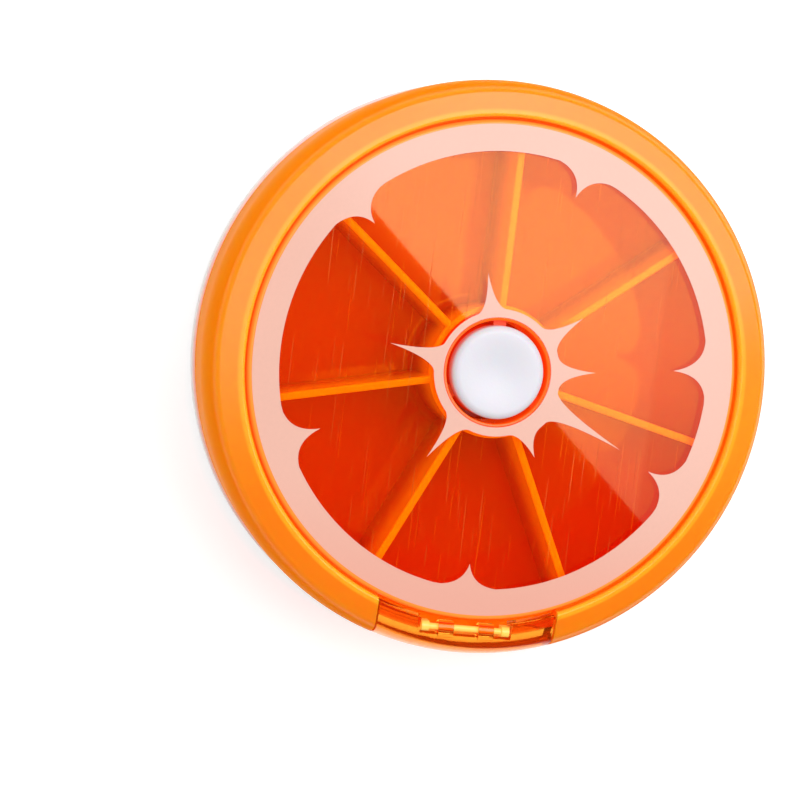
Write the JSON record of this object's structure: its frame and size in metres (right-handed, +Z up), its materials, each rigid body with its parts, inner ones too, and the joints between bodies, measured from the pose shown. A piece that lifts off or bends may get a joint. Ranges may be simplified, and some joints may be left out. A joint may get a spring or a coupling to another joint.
{
  "type": "round pill box",
  "caption": "Round push-button pill box with a clear citrus-print window, a turning compartment wheel and a hinged outlet door in its rim.",
  "frame": {"origin": "centre of the flat face that the back cover rests on", "axes": "+Z up through the window and the button, -Y towards the outlet door"},
  "size_m": [0.0906, 0.0908, 0.0254],
  "materials": {
    "tangerine_shell": "glossy, translucent",
    "tangerine_window": "polished, transparent",
    "amber_door": "polished, transparent",
    "tangerine_wheel": "semi-gloss, translucent",
    "pale_ink": "screen-printed ink",
    "white_plastic": "satin",
    "inner_plastic": "satin",
    "spring_steel": "bright drawn wire and strip"
  },
  "bodies": {
    "case": {"back_cover": "white_plastic", "front_shell": "tangerine_shell", "lens": "tangerine_window", "rind_print": "pale_ink", "star_print": "pale_ink", "index_spring": "spring_steel", "button_spring": "spring_steel", "spring_washer": "spring_steel"},
    "button": {"button_cap": "white_plastic", "plunger": "inner_plastic"},
    "drive": {"drive_collar": "inner_plastic", "pawl_spring": "spring_steel"},
    "wheel": {"pill_wheel": "tangerine_wheel"},
    "door": {"outlet_door": "amber_door"}
  },
  "joints": [
    {"name": "button_press", "type": "slide", "parent": "case", "child": "button", "axis": [0, 0, 1], "range_m": [-0.0032, 0], "stiffness_N_per_m": 400, "springref_m": 0.002, "deforming": ["button_spring"]},
    {"name": "collar_turn", "type": "hinge", "parent": "case", "child": "drive", "pos_m": [0, 0, 0.0099], "axis": [0, 0, 1], "range_deg": [0, 51.5], "deforming": ["pawl_spring"]},
    {"name": "wheel_turn", "type": "hinge", "parent": "case", "child": "wheel", "pos_m": [0, 0, 0.0075], "axis": [0, 0, 1], "continuous": true, "deforming": ["index_spring"]},
    {"name": "door_swing", "type": "hinge", "parent": "case", "child": "door", "pos_m": [0, -0.0402, 0.0237], "axis": [-1, 0, 0], "range_deg": [0, 90]}
  ],
  "couplings": [
    {"joint": "collar_turn", "follows": "button_press", "rad_per_m": -280.5}
  ]
}
